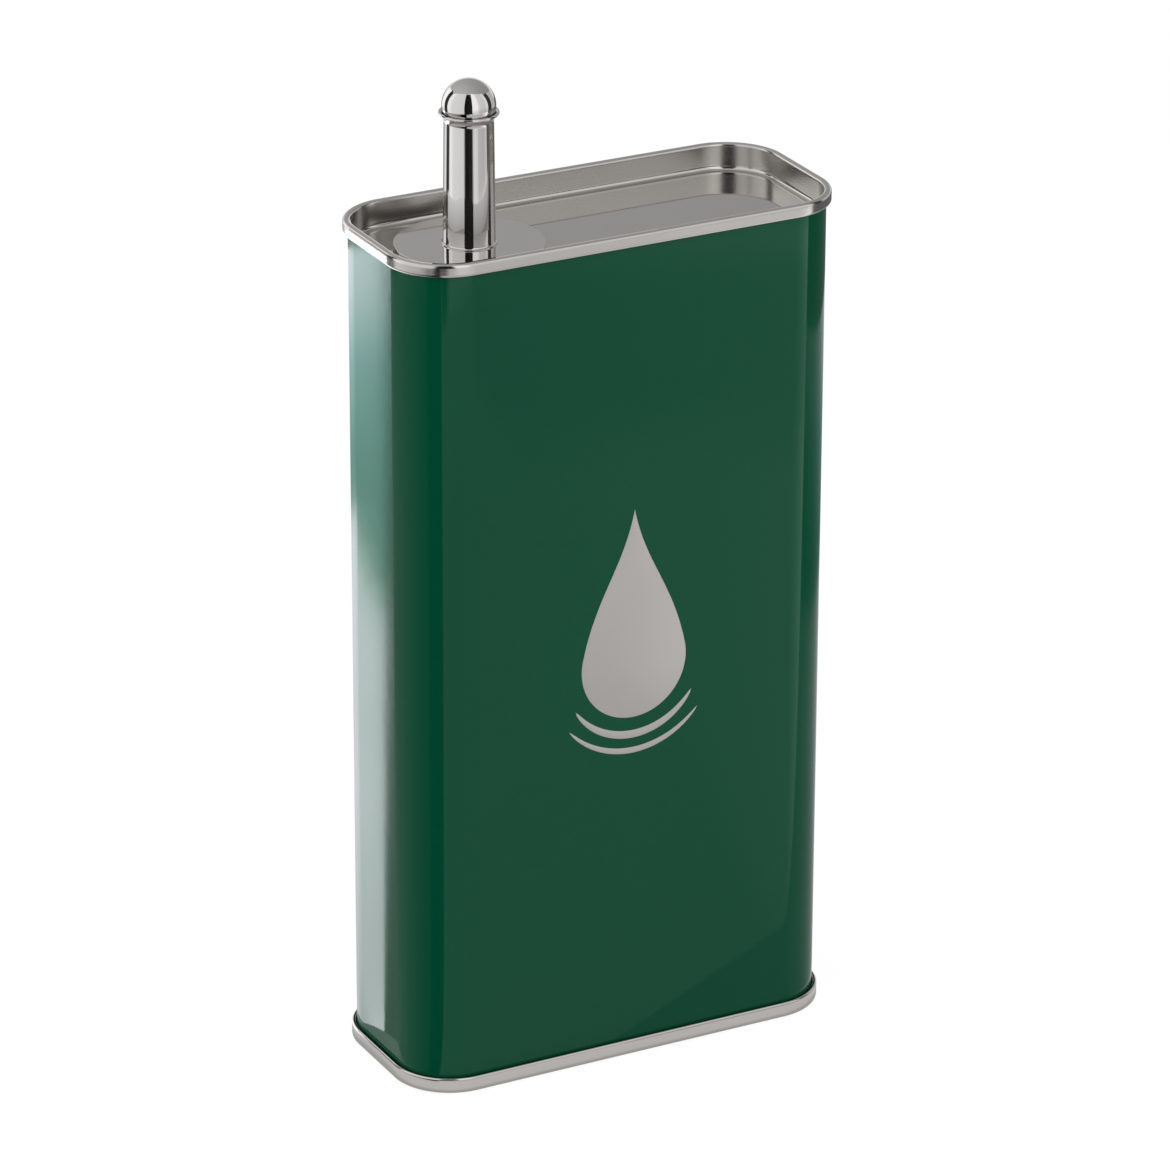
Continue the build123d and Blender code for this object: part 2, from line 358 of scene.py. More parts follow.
# Sweep of a section along a rectangle with round corners
filletPoints = 200
sweepTree, given, out = newGroup("sweepAroundTin", [
    ("Geometry", "NodeSocketGeometry"), ("Length", "NodeSocketFloat"), ("Width", "NodeSocketFloat"),
    ("Corner", "NodeSocketFloat"), ("Steps", "NodeSocketInt"), ("Material", "NodeSocketMaterial"),
], [("Geometry", "NodeSocketGeometry")], "GeometryNodeTree")
rectangle = addNode(sweepTree, "GeometryNodeCurvePrimitiveQuadrilateral", {
    "Width": given["Length"], "Height": given["Width"],
})
rounded = addNode(sweepTree, "GeometryNodeFilletCurve", {
    "Count": filletPoints, "Curve": rectangle.outputs["Curve"], "Radius": given["Corner"],
}, mode="POLY")
even = addNode(sweepTree, "GeometryNodeResampleCurve", {
    "Curve": rounded.outputs["Curve"], "Count": given["Steps"],
}, mode="COUNT")
swept = sweepAlong(sweepTree, even.outputs["Curve"], given["Geometry"])
endTree(sweepTree, swept, given["Material"], out)

# Thread ridge along a helix
threadTree, given, out = newGroup("threadRidge", [
    ("Geometry", "NodeSocketGeometry"), ("Radius", "NodeSocketFloat"), ("Pitch", "NodeSocketFloat"),
    ("Turns", "NodeSocketFloat"), ("Steps", "NodeSocketInt"), ("Material", "NodeSocketMaterial"),
], [("Geometry", "NodeSocketGeometry")], "GeometryNodeTree")
rise = mathNode(threadTree, "MULTIPLY", given["Pitch"], given["Turns"])
helix = addNode(threadTree, "GeometryNodeCurveSpiral", {
    "Resolution": given["Steps"], "Rotations": given["Turns"], "Start Radius": given["Radius"],
    "End Radius": given["Radius"], "Height": rise, "Reverse": True,  # a right-hand thread
})
ridge = sweepAlong(threadTree, helix.outputs["Curve"], given["Geometry"], True)
endTree(threadTree, ridge, given["Material"], out)


sharpAngle = 35  # degrees between faces, past which their edge shows
joinWithin = 0.002
tiny = 1e-6


def grow(name, mesh, tree, values):
    # runs a tree on a mesh and keeps the result as a plain mesh
    holder = bpy.data.objects.new(name, mesh)
    scene.collection.objects.link(holder)
    modifier = holder.modifiers.new("grow", "NODES")
    modifier.node_group = tree
    sockets = {item.name: item.identifier for item in tree.interface.items_tree if item.in_out == "INPUT"}
    for key, value in values.items():
        modifier[sockets[key]] = value
    bpy.context.view_layer.update()
    grown = bpy.data.meshes.new_from_object(holder.evaluated_get(bpy.context.evaluated_depsgraph_get()))
    holder.modifiers.remove(modifier)
    bpy.data.objects.remove(holder)
    grown.name = name
    return grown


def sweepAround(name, line, closed, material):
    around = {
        "Length": bodyLength * mm, "Width": bodyWidth * mm, "Corner": bodyCorner * mm,
        "Steps": tin["pathSteps"], "Material": material,
    }
    return grow(name, outlineMesh(name + "Section", line, closed), sweepTree, around)


def tidyMesh(mesh, change=None, sharpAt=sharpAngle):
    # joins doubles, lets change add to the mesh, and turns every face outwards
    made = bmesh.new()
    made.from_mesh(mesh)
    bmesh.ops.remove_doubles(made, verts=made.verts, dist=joinWithin * mm)
    if change:
        change(made)
    bmesh.ops.recalc_face_normals(made, faces=made.faces)
    if made.calc_volume(signed=True) < 0:
        bmesh.ops.reverse_faces(made, faces=made.faces)
    for face in made.faces:
        face.smooth = True
    made.to_mesh(mesh)
    made.free()
    mesh.set_sharp_from_angle(angle=radians(sharpAt))
    return mesh


def turnMesh(name, outline, steps):
    # a closed outline of radius and height, turned about the spout's axis
    mesh = bpy.data.meshes.new(name)
    made = bmesh.new()
    rings = []
    for radius, z in outline:
        if radius < tiny:
            rings.append([made.verts.new((spoutX * mm, 0, z * mm))] * steps)
            continue
        turns = [2 * pi * k / steps for k in range(steps)]
        rings.append([
            made.verts.new(((spoutX + radius * cos(a)) * mm, radius * sin(a) * mm, z * mm)) for a in turns
        ])
    for low, high in zip(rings, rings[1:] + rings[:1]):
        for k in range(steps):
            corners = []
            for vert in (low[k], low[(k + 1) % steps], high[(k + 1) % steps], high[k]):
                if vert not in corners:
                    corners.append(vert)
            if len(corners) > 2:
                made.faces.new(corners)
    made.to_mesh(mesh)
    made.free()
    return tidyMesh(mesh)


# Green sleeve, folded outwards into the seams
hookBend = 0.35
wall = -tin["sheet"] / 2
coverHook = wall + tin["layer"]
bodyHook = wall + 2 * tin["layer"]
seamOuter = wall + 3 * tin["layer"]
chuck = wall - tin["layer"]
bodyTop = tin["height"] - tin["layer"] - tin["sheet"] / 2
bodyBase = tin["layer"] + tin["sheet"] / 2
left, right = sheetFaces(
    [
        (bodyHook, tin["height"] - tin["layer"] - tin["topHook"]), (bodyHook, bodyTop), (wall, bodyTop),
        (wall, bodyBase), (bodyHook, bodyBase), (bodyHook, tin["layer"] + tin["bottomHook"]),
    ],
    [0] + [hookBend] * 4 + [0], 4,
)
sleeve = sweepAround("bodySleeve", left + right[::-1], True, greenLacquer)
showPiece("bodySleeve", tidyMesh(sleeve), greenLacquer, "tin", ["body_shell"])
print("sleeve made")


def raisedPlate(name, outlines, faceY, thickness, edge, material, sunk=0.03):
    # thin plates on the sleeve's front (thickness below zero) or back, with sloping edges
    mesh = bpy.data.meshes.new(name)
    made = bmesh.new()
    inner = faceY - sunk if thickness > 0 else faceY + sunk
    for outline in outlines:
        count = len(outline)
        area = sum(a[0] * b[1] - b[0] * a[1] for a, b in zip(outline, outline[1:] + outline[:1]))
        loops = []
        for y, inset in ((inner, 0), (faceY + thickness / 2, 0), (faceY + thickness, edge)):
            ring = []
            for k in range(count):
                before, here, after = (Vector(outline[j]) for j in (k - 1, k, (k + 1) % count))
                goIn, goOut = (here - before).normalized(), (after - here).normalized()
                inwards = Vector((-goIn.y, goIn.x)) + Vector((-goOut.y, goOut.x))
                inwards = inwards.normalized() * (1 if area > 0 else -1)
                at = here + inwards * inset
                ring.append(made.verts.new((at.x * mm, y * mm, at.y * mm)))
            loops.append(ring)
        for low, high in zip(loops, loops[1:]):
            for k in range(count):
                made.faces.new((low[k], low[(k + 1) % count], high[(k + 1) % count], high[k]))
        for ring in (loops[0], loops[-1]):
            rim = [made.edges.get((a, b)) for a, b in zip(ring, ring[1:] + ring[:1])]
            bmesh.ops.triangle_fill(made, use_beauty=True, use_dissolve=False, edges=rim)
    made.to_mesh(mesh)
    made.free()
    return showPiece(name, tidyMesh(mesh, sharpAt=20), material, "tin")


# Lap of the welded side seam, down the middle of the back
lap = {"width": 5.0, "thickness": 0.30, "edge": 0.12, "endGap": 0.4}
lapHalf = lap["width"] / 2
lapLow, lapHigh = tin["bottomSeam"] + lap["endGap"], tin["height"] - tin["topSeam"] - lap["endGap"]
raisedPlate(
    "sideSeam", [[(-lapHalf, lapLow), (lapHalf, lapLow), (lapHalf, lapHigh), (-lapHalf, lapHigh)]],
    bodyWidth / 2, lap["thickness"], lap["edge"], greenLacquer,
)

# Motif of a drop over two ripples, in bare steel on the front
motif = {
    "dropRadius": 14.0,
    "dropZ": 103.5,
    "tipZ": 143.0,
    "shoulder": 12,  # degrees above the middle, where a flank leaves the round part
    "flankPull": 0.42,
    "tipPull": (0.07, -0.36),
    "flankSteps": 24,
    "ripples": [(18.4, 2.0, 58), (22.6, 1.5, 50)],
    "thickness": 0.07,
    "edge": 0.10,
}


def dropOutline(centreZ, radius, tip):
    # a round drop drawn out to a soft point
    meet, steps = motif["shoulder"], motif["flankSteps"]
    outline = arc((0, centreZ), radius, 180 - meet, 360 + meet, 56)
    flank = Vector(outline[-1])
    point = Vector((0, tip))
    along = Vector((-sin(radians(meet)), cos(radians(meet))))
    # each flank leaves the circle along its tangent and runs into the point almost upright
    tall = tip - centreZ
    pulls = (
        flank, flank + along * motif["flankPull"] * tall, point + Vector(motif["tipPull"]) * tall, point,
    )
    rise = []
    for k in range(1, steps):
        t = k / steps
        weights = ((1 - t) ** 3, 3 * t * (1 - t) ** 2, 3 * t * t * (1 - t), t ** 3)
        rise.append(sum((pull * weight for pull, weight in zip(pulls, weights)), Vector((0, 0))))
    outline += [tuple(p) for p in rise] + [(0, tip)] + [(-p.x, p.y) for p in reversed(rise)]
    return outline


def rippleOutline(centreZ, radius, width, spread, steps=36):
    # an arc under the drop, thick in the middle and thin at its ends
    turns = [radians(-90 - spread + 2 * spread * k / steps) for k in range(steps + 1)]
    outer, inner = [], []
    for a in turns:
        thick = width * max(cos((a + pi / 2) * 90 / spread), 0) ** 0.5
        for line, reach in ((outer, radius + thick / 2), (inner, radius - thick / 2)):
            line.append((reach * cos(a), centreZ + reach * sin(a)))
    return outer + inner[-2:0:-1]


raisedPlate(
    "frontMotif",
    [dropOutline(motif["dropZ"], motif["dropRadius"], motif["tipZ"])]
    + [rippleOutline(motif["dropZ"], *ripple) for ripple in motif["ripples"]],
    -bodyWidth / 2, -motif["thickness"], motif["edge"], motifSteel,
)
print("motif made")

# Steel ends, each one sheet from the panel over the rim into the hook
ends = {
    "rimRound": 0.75,
    "topPanelBend": 1.2,
    "bottomPanelBend": 1.2,
    "stepInset": 7.0,
    "stepRun": 1.4,
    "stepRise": 1.2,
    "stepBend": 0.6,
    "panelEdge": 0.6,  # flat strip of the swept sheet that the panel is joined to
    "neckHole": 13.75,
    "holeSteps": 128,
    "edgeWithin": 0.01,  # how far from the panel's face its open edge may lie
}


def endFaces(rimZ, up, seam, hook, panel, panelBends):
    # from the panel to the cover hook; up is 1 where the rim points down and -1 where it points up
    def z(depth):
        return rimZ + up * depth
    edge = ends["rimRound"] - tin["sheet"] / 2
    low = seam - tin["sheet"] / 2
    half = tin["sheet"] / 2
    points = [(x, z(depth)) for x, depth in panel] + [
        (chuck, z(half)), (seamOuter, z(half)), (seamOuter, z(low)), (coverHook, z(low)),
        (coverHook, z(seam - hook)),
    ]
    return sheetFaces(points, panelBends + [edge, edge, hookBend, hookBend, 0], 6)


def fillPanel(z, hole=0):
    # closes the flat panel between the swept sheet's open edges, with a round hole where hole isn't zero
    def change(made):
        loops, steps, near = [], ends["holeSteps"], ends["edgeWithin"] * mm
        for level in (z, z - tin["sheet"]):
            edges = [
                edge for edge in made.edges
                if edge.is_boundary and all(abs(vert.co.z - level * mm) < near for vert in edge.verts)
            ]
            ring = []
            if hole:
                turns = [2 * pi * k / steps for k in range(steps)]
                ring = [
                    made.verts.new(((spoutX + hole * cos(a)) * mm, hole * sin(a) * mm, level * mm))
                    for a in turns
                ]
                edges += [made.edges.new((a, b)) for a, b in zip(ring, ring[1:] + ring[:1])]
            bmesh.ops.triangle_fill(made, use_beauty=True, use_dissolve=False, edges=edges)
            loops.append(ring)
        for k in range(len(loops[0])):
            following = (k + 1) % len(loops[0])
            made.faces.new((loops[0][k], loops[0][following], loops[1][following], loops[1][k]))
    return change


topFlat = tin["topRecess"] + tin["sheet"] / 2
left, right = endFaces(
    tin["height"], -1, tin["topSeam"], tin["topHook"],
    [(chuck - ends["topPanelBend"] - ends["panelEdge"], topFlat), (chuck, topFlat)],
    [0, ends["topPanelBend"]],
)
topMesh = sweepAround("topEnd", left + right[::-1], False, topSteel)
tidyMesh(topMesh, fillPanel(panelTop, ends["neckHole"]))


zones = {
    "wallOut": (-1.2, -0.1),  # from the sleeve's face, outwards
    "wallLow": 0.95,  # share of the panel's bend
    "rimDepth": 0.5,
    "panelHigh": 0.1,
    "flatHigh": 0.35,
    "flatOut": -0.9,
}


def markShares(mesh, panelZ, bend):
    # how far each point belongs to the drawn wall, whose colour takes painted shade, and to the polished
    # panel
    wallShare = mesh.attributes.new("wall", "FLOAT", "POINT")
    panelShare = mesh.attributes.new("panel", "FLOAT", "POINT")
    halfLength, halfWidth = (bodyLength / 2 - bodyCorner) * mm, (bodyWidth / 2 - bodyCorner) * mm
    for k, vert in enumerate(mesh.vertices):
        away = Vector((max(abs(vert.co.x) - halfLength, 0), max(abs(vert.co.y) - halfWidth, 0)))
        out = away.length / mm - bodyCorner
        high = vert.co.z / mm - panelZ
        onWall = zones["wallOut"][0] < out < zones["wallOut"][1]
        onWall = onWall and zones["wallLow"] * bend < high < tin["topRecess"] - zones["rimDepth"]
        wallShare.data[k].value = float(onWall)
        inside = out < zones["flatOut"] and high < zones["flatHigh"] * bend
        panelShare.data[k].value = float(high < zones["panelHigh"] * bend or inside)


markShares(topMesh, panelTop, ends["topPanelBend"])
showPiece("topEnd", topMesh, topSteel, "tin", ["top_end"])

baseFlat = tin["bottomRecess"] + tin["sheet"] / 2
stepFoot = chuck - ends["stepInset"]
stepHead = stepFoot - ends["stepRun"]
left, right = endFaces(
    0, 1, tin["bottomSeam"], tin["bottomHook"],
    [
        (stepHead - 1, baseFlat + ends["stepRise"]), (stepHead, baseFlat + ends["stepRise"]),
        (stepFoot, baseFlat), (chuck, baseFlat),
    ],
    [0, ends["stepBend"], ends["stepBend"], ends["bottomPanelBend"]],
)
baseMesh = sweepAround("bottomEnd", left + right[::-1], False, endSteel)
tidyMesh(baseMesh, fillPanel(baseFlat + ends["stepRise"] + tin["sheet"] / 2))
showPiece("bottomEnd", baseMesh, endSteel, "tin", ["bottom_end"])
print("ends made")

# Spout: disc, tube with its foot and lip
spout = {
    "discRadius": 17.8,
    "discThickness": 1.0,
    "discEdge": 0.22,
    "discLowEdge": 0.08,
    "gasket": 0.9,
    "baseRadius": 6.2,
    "neckRadius": 5.83,
    "wall": 0.72,
    "taper": 29.5,
    "footRadius": 0.5,
    "footEdge": 0.12,
    "flareRadius": 2.0,
    "lipRadius": 7.1,
    "lipHeight": 0.6,
    "lipLand": 0.55,
    "lipEdge": 0.26,
    "mouthEdge": 0.12,
    "taperEnd": (0.003, 0.3),  # the last of the taper at each end, in radius and height
    "steps": 144,
}
ball = {"radius": 6.35, "play": 0.05, "seat": 5.6, "stem": 2.02, "socket": 4.0}
discLow = panelTop + spout["gasket"]
discTop = discLow + spout["discThickness"]
baseBore = spout["baseRadius"] - spout["wall"]
neckBore = spout["neckRadius"] - spout["wall"]
discLine = roundedLine(
    [
        (baseBore, discLow), (spout["discRadius"], discLow), (spout["discRadius"], discTop),
        (baseBore, discTop),
    ],
    [0, spout["discLowEdge"], spout["discEdge"], 0], 6, 0.15, True,
)
showPiece("spoutDisc", turnMesh("spoutDisc", discLine, spout["steps"]), polishedSteel, "spout",
          ["spout_disc"])

flareZ = discTop + spout["taper"]
flareTurn = acos(1 - (spout["lipRadius"] - spout["neckRadius"]) / spout["flareRadius"])
lipLow = flareZ + spout["flareRadius"] * sin(flareTurn)
lipTop = lipLow + spout["lipHeight"]
mouth = spout["lipRadius"] - spout["lipLand"]
seatTurn = asin(ball["seat"] / ball["radius"])
coneSlope = cos(seatTurn) / sin(seatTurn)
coneBase = lipTop - (mouth - neckBore) / coneSlope
footTop = discTop + spout["footEdge"] + spout["footRadius"]
footReach = spout["baseRadius"] + spout["footRadius"]
lipCentre = (spout["lipRadius"] - spout["lipEdge"], lipLow + spout["lipEdge"])
endIn, endUp = spout["taperEnd"]
tubeLine = (
    [(baseBore, discTop), (footReach, discTop), (footReach, discTop + spout["footEdge"])]
    + arc((footReach, footTop), spout["footRadius"], 270, 180, 12)[1:]
    + [(spout["baseRadius"] - endIn, footTop + endUp), (spout["neckRadius"] + endIn, flareZ - endUp)]
    + arc((spout["neckRadius"] + spout["flareRadius"], flareZ), spout["flareRadius"], 180,
          180 - flareTurn * 180 / pi, 16)[:-1]
    + arc(lipCentre, spout["lipEdge"], -60, 0, 5)
    + arc((lipCentre[0], lipTop - spout["lipEdge"]), spout["lipEdge"], 0, 90, 6)
    + arc((mouth + spout["mouthEdge"], lipTop - spout["mouthEdge"]), spout["mouthEdge"], 90, 150, 4)
    + [(neckBore, coneBase)]
)
showPiece("spoutTube", turnMesh("spoutTube", tubeLine, spout["steps"]), polishedSteel, "spout",
          ["spout_tube"])

# Threads of the neck and the plug: the same helix, half a pitch apart, so they run free of each other
thread = {
    "pitch": 2.5,
    "neckBore": 12.5,
    "neckWall": 1.2,
    "neckLength": 7.5,
    "flangeRadius": 16.5,
    "flange": 0.6,
    "plugRadius": 12.42,
    "plugRoot": 11.85,
    "plugInside": 11.42,
    "plugLength": 7.8,
    "plugStart": 1.1,
    "plugTurns": 2.0,
    "neckTurns": 2.6,
    "rootWidth": 1.0,
    "crestWidth": 0.5,
    "neckDepth": 0.5,
    "neckEdge": 0.15,
    "flangeEdge": 0.1,
    "plugEdge": 0.15,
    "plugLead": (0.2, 0.3),  # height of the chamfers at the plug's foot, inside and outside
    "relief": (0.6, 0.3),  # under the disc, where the plug widens from its root to its full radius
    "sunk": 0.1,
    "steps": 96,
}
# Corners of a ridge's section, as shares of its depth and of half its crest
ridgeShares = [(0.85, -1.25), (1, -0.6), (1, 0.6), (0.85, 1.25)]


def threadRidge(name, radius, depth, low, turns):
    # a ridge that stands out by depth, inwards where depth is below zero
    wide, narrow = thread["rootWidth"] / 2, thread["crestWidth"] / 2
    start = -thread["sunk"] if depth > 0 else thread["sunk"]
    crest = [(depth * out, narrow * along) for out, along in ridgeShares]
    section = [(start, -wide)] + crest + [(start, wide)]
    mesh = grow(name, outlineMesh(name + "Section", section, True), threadTree, {
        "Radius": radius * mm, "Pitch": thread["pitch"] * mm, "Turns": turns, "Steps": thread["steps"],
        "Material": turnedSteel,
    })
    mesh.transform(Matrix.Translation((spoutX * mm, 0, low * mm)))
    return mesh


def joinMeshes(name, meshes):
    made = bmesh.new()
    for mesh in meshes:
        made.from_mesh(mesh)
    joined = bpy.data.meshes.new(name)
    made.to_mesh(joined)
    made.free()
    joined.set_sharp_from_angle(angle=radians(sharpAngle))
    return joined


neckLow = panelTop - thread["neckLength"]
neckOuter = thread["neckBore"] + thread["neckWall"]
flangeTop = panelTop - tin["sheet"]
neckLine = roundedLine(
    [
        (thread["neckBore"], panelTop), (thread["neckBore"], neckLow), (neckOuter, neckLow),
        (neckOuter, flangeTop - thread["flange"]), (thread["flangeRadius"], flangeTop - thread["flange"]),
        (thread["flangeRadius"], flangeTop), (neckOuter, flangeTop), (neckOuter, panelTop),
    ],
    [thread["neckEdge"]] * 3 + [0, thread["flangeEdge"], thread["flangeEdge"], 0, thread["flangeEdge"]],
    3, 0, True,
)
neckRidge = tidyMesh(threadRidge(
    "neckRidge", thread["neckBore"], -thread["neckDepth"], neckLow + thread["rootWidth"] / 2,
    thread["neckTurns"],
))
neckMesh = joinMeshes("fillerNeck", [turnMesh("neckRing", neckLine, spout["steps"]), neckRidge])
showPiece("fillerNeck", neckMesh, turnedSteel, "tin", ["filler_neck"])

plugLow = discLow - thread["plugLength"]
plugRoot, plugInside, plugEdge = thread["plugRoot"], thread["plugInside"], thread["plugEdge"]
leadIn, leadOut = thread["plugLead"]
reliefLow, reliefTop = thread["relief"]
plugLine = [
    (plugInside, discLow), (plugInside, plugLow + leadIn), (plugInside + plugEdge, plugLow),
    (plugRoot - plugEdge, plugLow), (plugRoot, plugLow + leadOut), (plugRoot, discLow - reliefLow),
    (thread["plugRadius"], discLow - reliefTop), (thread["plugRadius"], discLow),
]
plugRidge = tidyMesh(threadRidge(
    "plugRidge", plugRoot, thread["plugRadius"] - plugRoot, plugLow + thread["plugStart"],
    thread["plugTurns"],
))
plugMesh = joinMeshes("spoutPlug", [turnMesh("plugRing", plugLine, spout["steps"]), plugRidge])
showPiece("spoutPlug", plugMesh, turnedSteel, "spout", ["spout_plug"])
print("threads made")

# Ball stopper
seatRise = (ball["radius"] + ball["play"] - mouth * sin(seatTurn)) / cos(seatTurn)
ballZ = lipTop + seatRise
socketTurn = asin(ball["stem"] / ball["radius"]) * 180 / pi
ballLine = arc((0, ballZ), ball["radius"], -90 + socketTurn, 90, 72)
ballLine[-1] = (0, ballZ + ball["radius"])
socketTop = ballZ - ball["radius"] + ball["socket"]
ballLine += [(0, socketTop), (ball["stem"], socketTop)]
showPiece("stopperBall", turnMesh("stopperBall", ballLine, spout["steps"]), polishedSteel, "stopper",
          ["stopper_ball"])
print("spout made")

# Finishes of the solids that show as they are
finishes = {
    "top_seam_seal": seamCompound,
    "bottom_seam_seal": seamCompound,
    "spout_gasket": gasketRubber,
    "stopper_stem": turnedSteel,
    "stopper_seal": siliconeRubber,
}
for node, material in finishes.items():
    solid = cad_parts[node]
    solid.data.materials.clear()
    solid.data.materials.append(material)

# Camera, as the photograph was taken, with a long lens
shot = {
    "azimuth": -27.885,
    "elevation": 23.316,
    "tilt": 23.021,
    "turn": 0.022,
    "roll": 0.21,
    "distance": 1536.1,
    "aimHeight": 106.0,
    "lens": 196.7,
    "sensor": 36,
    "near": 0.05,
    "far": 20,
}


def direction(azimuth, elevation):
    # from the tin towards a camera at these angles; azimuth 0 is in front
    a, e = radians(azimuth), radians(elevation)
    return Vector((sin(a) * cos(e), -cos(a) * cos(e), sin(e)))


back = direction(shot["azimuth"] + shot["turn"], shot["tilt"])
side = (-back).cross(Vector((0, 0, 1))).normalized()
up = side.cross(-back)
roll = radians(shot["roll"])
side, up = side * cos(roll) + up * sin(roll), up * cos(roll) - side * sin(roll)
cameraData = bpy.data.cameras.new("camera")
cameraData.lens = shot["lens"]
cameraData.sensor_width = shot["sensor"]
cameraData.clip_start = shot["near"]
cameraData.clip_end = shot["far"]
camera = bpy.data.objects.new("camera", cameraData)
scene.collection.objects.link(camera)
place = Vector((0, 0, shot["aimHeight"])) + direction(shot["azimuth"], shot["elevation"]) * shot["distance"]
camera.matrix_world = Matrix.Translation(place * mm) @ Matrix((side, up, back)).transposed().to_4x4()
scene.camera = camera


# Stage: floor, cards that show in reflections alone, lamps and surroundings
def glowMaterial(name):
    material = bpy.data.materials.new(name)
    material.use_nodes = True
    tree = material.node_tree
    tree.nodes.clear()
    glow = addNode(tree, "ShaderNodeEmission")
    output = addNode(tree, "ShaderNodeOutputMaterial", {"Surface": glow.outputs[0]})
    return material, tree, glow, output


def cardMaterial(name, tinted=False):
    # its brightness at each corner is in the mesh's attribute "glow", and its colour in "tint"
    made, tree, glow, output = glowMaterial(name)
    glows = addNode(tree, "ShaderNodeAttribute", attribute_name="glow")
    tree.links.new(glows.outputs["Fac"], glow.inputs["Strength"])
    if tinted:
        tints = addNode(tree, "ShaderNodeAttribute", attribute_name="tint")
        tree.links.new(tints.outputs["Color"], glow.inputs["Color"])
    return made


whiteCard = cardMaterial("whiteCard")
tintedCard = cardMaterial("tintedCard", True)


def glossOnly(name, mesh):
    # a stage object that shows only in what is glossy
    made = bpy.data.objects.new(name, mesh)
    scene.collection.objects.link(made)
    made.visible_camera = False
    made.visible_diffuse = False
    made.visible_shadow = False
    made.visible_transmission = False
    return made


def stageCard(name, corners, faces, glows, tints=()):
    # glows holds the brightness of each corner, and tints its colour
    mesh = bpy.data.meshes.new(name)
    mesh.from_pydata([tuple(c) for c in corners], [], faces)
    mesh.attributes.new("glow", "FLOAT", "POINT").data.foreach_set("value", glows)
    if tints:
        colours = mesh.attributes.new("tint", "FLOAT_VECTOR", "POINT")
        colours.data.foreach_set("vector", [value for tint in tints for value in tint])
    mesh.materials.append(tintedCard if tints else whiteCard)
    return glossOnly(name, mesh)


def gridFaces(rows, across, closed=False):
    # faces between rows of corners; closed joins the end of a row to its start
    count = across if closed else across + 1
    return [
        (r * count + k, (r + 1) * count + k, (r + 1) * count + (k + 1) % count, r * count + (k + 1) % count)
        for r in range(rows) for k in range(across)
    ]


def between(stops, at):
    # the value at a place among stops of place and value
    for (before, low), (after, high) in zip(stops, stops[1:]):
        if at <= after:
            return low + (high - low) * max(at - before, 0) / max(after - before, tiny)
    return stops[-1][1]


def standingCard(name, reach, heights, glow, aloft=1.0, steps=48, lower=0.25):
    # a curved card that stands on the floor; heights and glow are stops of azimuth and value, and
    # aloft is how much brighter it is from its lower part up
    corners, glows = [], []
    start, end = heights[0][0], heights[-1][0]
    for k in range(steps + 1):
        azimuth = start + (end - start) * k / steps
        out = direction(azimuth, 0) * reach
        corners += [(out.x, out.y, z) for z in (0, lower, between(heights, azimuth))]
        glows += [between(glow, azimuth) * share for share in (1, aloft, aloft)]
    faces = [(3 * k + j, 3 * k + j + 1, 3 * k + j + 4, 3 * k + j + 3) for k in range(steps) for j in (0, 1)]
    return stageCard(name, corners, faces, glows)


def floorCard(name, apex, level, reaches, glow, tint=(), askew=None, rings=40):
    # a wedge of card on the floor, apex in millimetres; its glow at an azimuth, from the stops in
    # glow, is multiplied by that at a reach, from the stops in reaches; askew holds how far the
    # pattern near a reach is drawn in or out across the card
    corners, glows, tints = [], [], []
    steps = askew["steps"] if askew else 48
    start, end = glow[0][0], glow[-1][0]
    for ring in range(rings + 1):
        reach = reaches[0][0] + (reaches[-1][0] - reaches[0][0]) * ring / rings
        for k in range(steps + 1):
            azimuth = start + (end - start) * k / steps
            out = direction(azimuth, 0) * max(reach, 0.5 * mm)
            corners.append((apex[0] * mm + out.x, apex[1] * mm + out.y, level * mm))
            place = reach
            if askew:
                aside = min(reach * sin(radians(min(askew["axis"] - azimuth, 90))) / askew["width"], 1)
                near = max(1 - abs(reach - askew["reach"]) / askew["spread"], 0)
                place = reach + (askew["out"] - (askew["out"] + askew["in"]) * aside) * near
            glows.append(between(glow, azimuth) * between(reaches, place))
            if tint:
                tints.append([between([(at, paint[j]) for at, paint in tint], place) for j in range(3)])
    return stageCard(name, corners, gridFaces(rings, steps), glows, tints)


# Cards as the room round the tin is; azimuths are in degrees, 0 in front and negative to the left
standingCard("leftPanel", 0.80, [(-125, 0.80), (-88, 1.4), (-46.8, 2.0)],
             [(-125, 1.25), (-112, 1.2), (-100, 0.98), (-46.8, 0.90)])
standingCard("cameraGap", 0.80, [(-46.8, 1.7), (-14, 1.7)], [(-46.8, 0.006), (-14, 0.02)])
standingCard("rightPanel", 0.80, [(-14, 2.0), (35, 1.4), (60, 1.0)],
             [(-14, 0.95), (10, 0.92), (15, 0.66), (36, 0.62), (46, 0.6), (50, 0.78), (60, 0.72)], 1.35)
standingCard("leftGap", 0.80, [(-146, 0.80), (-125, 0.80)], [(-146, 0.05), (-125, 0.03)])
standingCard("rightGap", 0.80, [(60, 0.82), (82, 0.80)], [(60, 0.04), (82, 0.05)])
standingCard("leftBack", 0.82, [(-176, 0.42), (-146, 0.72)], [(-176, 1.2), (-146, 1.45)])
standingCard("rightBack", 0.82, [(82, 0.72), (112, 0.45)], [(82, 0.62), (112, 0.62)])
# The first reach stops of these floor cards, darker within about 12 mm of the apex by the tin, are a painted
# contact shadow seen in reflections.
floorCard("leftFloor", (-50, -16), -0.12, [(0, 0.6), (0.012, 1), (0.575, 1)],
          [(-158, 0.35), (-125, 0.50), (-100, 0.42), (-80, 0.26), (-63, 0.14), (-60.5, 0), (-35.5, 0),
           (-33.5, 0.6)])
leftApex, rightApex = (-56.3, -2.0), (49.5, -22.5)
leftBackGlow = [(-298, 0.1), (-260, 0.13), (-207, 0.16), (-185, 0.33), (-168, 0.73), (-160, 1), (-153.8, 1)]
